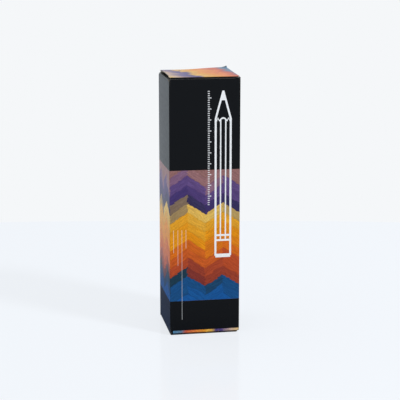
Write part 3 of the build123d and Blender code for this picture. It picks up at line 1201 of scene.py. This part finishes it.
def turned_pencil(number):
    """One pencil: the tree's result as a plain mesh, which rides and stands for its node."""
    node, slot = f"pencil_{number:02d}", f"lacquer_{number:02d}"
    low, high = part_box(node)
    colour = ink(*(255 * c for c in record_colours[slot][:3]))
    seed = bpy.data.objects.new(f"seed_{number:02d}", bpy.data.meshes.new(f"seed_{number:02d}"))
    bpy.context.scene.collection.objects.link(seed)
    modifier = seed.modifiers.new("turned_pencil", "NODES")
    modifier.node_group = PENCIL_TREE
    for name, value in {
        "Place": ((low.x + high.x) / 2, (low.y + high.y) / 2, low.z),
        "Thickness": 2 * PENCIL_RADIUS,
        "Sides": SIDES,
        "Lacquer": lacquer(slot, colour),
        "Wood": WOOD,
        "Lead": lead_of(f"lead_{number:02d}", colour),
    }.items():
        modifier[PENCIL_INPUTS[name]] = value
    bpy.context.view_layer.update()
    mesh = bpy.data.meshes.new_from_object(seed.evaluated_get(bpy.context.evaluated_depsgraph_get()))
    mesh.name = f"coloured_pencil_{number:02d}"
    bpy.data.objects.remove(seed)
    mesh.shade_smooth()
    mesh.set_sharp_from_angle(angle=SHARP)
    piece = bpy.data.objects.new(mesh.name, mesh)
    bpy.context.scene.collection.objects.link(piece)
    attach(piece, node)
    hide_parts(node)
    return piece


pencils = [turned_pencil(number) for number in range(1, PENCILS + 1)]
last = pencils[-1].data
print(len(pencils), "pencils of", len(last.polygons), "faces;", [look.name for look in last.materials])

# %% [markdown]
# ## Floor and light
# The carton stands on a wide white table in soft light from all round, rather more of it from the left, and
# one large lamp on the right gives it a faint shadow. A Light Path node tells which ray is asking. The
# camera sees the table and the room as plain white. Reflections see them a little bluer, and close to the
# carton they see a painted shadow: the table glows dark blue there, where the carton shades it. The light
# that falls on the carton stays at a plain level.

# %% What each ray sees
def rays(tree, kind):
    """1 for the rays of this kind: Camera, Glossy or Transmission."""
    return Field(tree, tree.nodes.new("ShaderNodeLightPath").outputs[f"Is {kind} Ray"])


def show(tree, plain, glow, share, surface):
    """Send a surface its plain look, and the glow instead for a share of the rays."""
    both = tree.nodes.new("ShaderNodeMixShader")
    for socket, value in zip(both.inputs, (share, plain, glow)):
        feed(socket, value)
    feed(surface, both.outputs[0])


# %% Table
TABLE_RADIUS, TABLE_END = 3.0, 0.33  # the table ends this far behind the carton
TABLE_HEADING = math.radians(9.87)  # its edge lies level in the picture
TABLE_X = (TABLE_END - TABLE_RADIUS) * math.sin(TABLE_HEADING)
TABLE_Y = (TABLE_END - TABLE_RADIUS) * math.cos(TABLE_HEADING)
SHADED_X, SHADED_Y = -0.03, 0.06  # middle of the painted shadow on the table, which only reflections see
SHADED_FROM, SHADED_TO = 0.06, 0.17  # how far from there it starts to fade, and ends
GLOW = 0.75  # how much of the table's white doesn't depend on the light
MIRRORED_GLOW = 0.15


def white_table():
    """Smooth white laminate, with its own light for the rays that see it."""
    material, tree, shader = finish("white_table", roughness=0.12, specular=0.5)
    shader.inputs["Base Color"].default_value = (0.76, 0.82, 0.9, 1)
    glow = tree.nodes.new("ShaderNodeEmission")
    mirrored = rays(tree, "Glossy")
    apart = tree.nodes.new("ShaderNodeVectorMath")
    apart.operation = "DISTANCE"
    feed(apart.inputs[0], object_place(tree))
    apart.inputs[1].default_value = (SHADED_X - TABLE_X, SHADED_Y - TABLE_Y, 0)
    # Painted shadow: close to the carton, reflections see the table glow dark blue in place of the carton's
    # shade.
    near = Field(tree, apart.outputs["Value"]).fall(SHADED_FROM, SHADED_TO) * mirrored
    feed(glow.inputs["Color"], mix(tree, near, ink(248, 251, 255), ink(52, 84, 140)))
    seen = rays(tree, "Camera").most(rays(tree, "Transmission")) * GLOW
    seen = seen.most(mirrored * MIRRORED_GLOW).most(near * GLOW)
    show(tree, shader.outputs[0], glow.outputs[0], seen, tree.nodes["Material Output"].inputs["Surface"])
    return material


bpy.ops.mesh.primitive_circle_add(
    vertices=256, radius=TABLE_RADIUS, fill_type="NGON", location=(TABLE_X, TABLE_Y, 0.0)
)
table = bpy.context.object
table.name = "table_top"
table.data.materials.append(white_table())
print(f"table {2 * TABLE_RADIUS} m across, centre at {TABLE_X:.2f}, {TABLE_Y:.2f}")

# %% Room and lamp
AMBIENT, MORE_FROM_LEFT = 0.62, -0.55  # light from all round, and how it changes from left to right
LAMP_PLACE, LAMP_AIM = Vector((1.06, -1.04, 1.38)), Vector((0, 0, 0.06))
LAMP_SIZE, LAMP_POWER = 0.32, 21.0

world = bpy.data.worlds.new("studio")
bpy.context.scene.world = world
world.use_nodes = True
sky = world.node_tree
around = sky.nodes["Background"]
around.inputs["Color"].default_value = (1, 1, 1, 1)
to_right = parts(sky, sky.nodes.new("ShaderNodeTexCoord").outputs["Generated"])[0]
feed(around.inputs["Strength"], to_right * MORE_FROM_LEFT + AMBIENT)
backdrop = sky.nodes.new("ShaderNodeBackground")
mirrored = rays(sky, "Glossy")
feed(backdrop.inputs["Color"], mix(sky, mirrored, ink(245, 247, 249), ink(236, 246, 255)))
seen = rays(sky, "Camera").most(mirrored).most(rays(sky, "Transmission"))
show(sky, around.outputs[0], backdrop.outputs[0], seen, sky.nodes["World Output"].inputs["Surface"])

light = bpy.data.lights.new("soft_lamp_right", "AREA")
light.shape, light.size, light.energy = "DISK", LAMP_SIZE, LAMP_POWER
lamp = bpy.data.objects.new("soft_lamp_right", light)
bpy.context.scene.collection.objects.link(lamp)
lamp.location = LAMP_PLACE
lamp.rotation_euler = (LAMP_PLACE - LAMP_AIM).to_track_quat("Z", "Y").to_euler()
print(f"lamp {LAMP_SIZE} m across, {(LAMP_PLACE - LAMP_AIM).length:.2f} m away, {LAMP_POWER} W")

# %% [markdown]
# ## Camera
# The carton is seen from a little above and from its left, through a long lens, as on a product table. The
# angles, the distance and the lens come from the places of the carton's corners in the picture.

# %% Camera
AZIMUTH, ELEVATION = math.radians(-9.87), math.radians(11.93)
DISTANCE, LENS = 0.880, 112.4  # metres from the carton's middle, and millimetres
AIM = Vector((0.0009, 0.0, 0.0904))
level_part = math.cos(ELEVATION)
back = Vector((math.sin(AZIMUTH) * level_part, -math.cos(AZIMUTH) * level_part, math.sin(ELEVATION)))
camera = bpy.data.objects.new("camera", bpy.data.cameras.new("camera"))
bpy.context.scene.collection.objects.link(camera)
camera.data.lens = LENS
camera.location = AIM + back * DISTANCE
camera.rotation_euler = back.to_track_quat("Z", "Y").to_euler()
bpy.context.scene.camera = camera
bpy.context.scene.view_settings.view_transform = "Standard"
print("camera at", [round(x, 3) for x in camera.location])
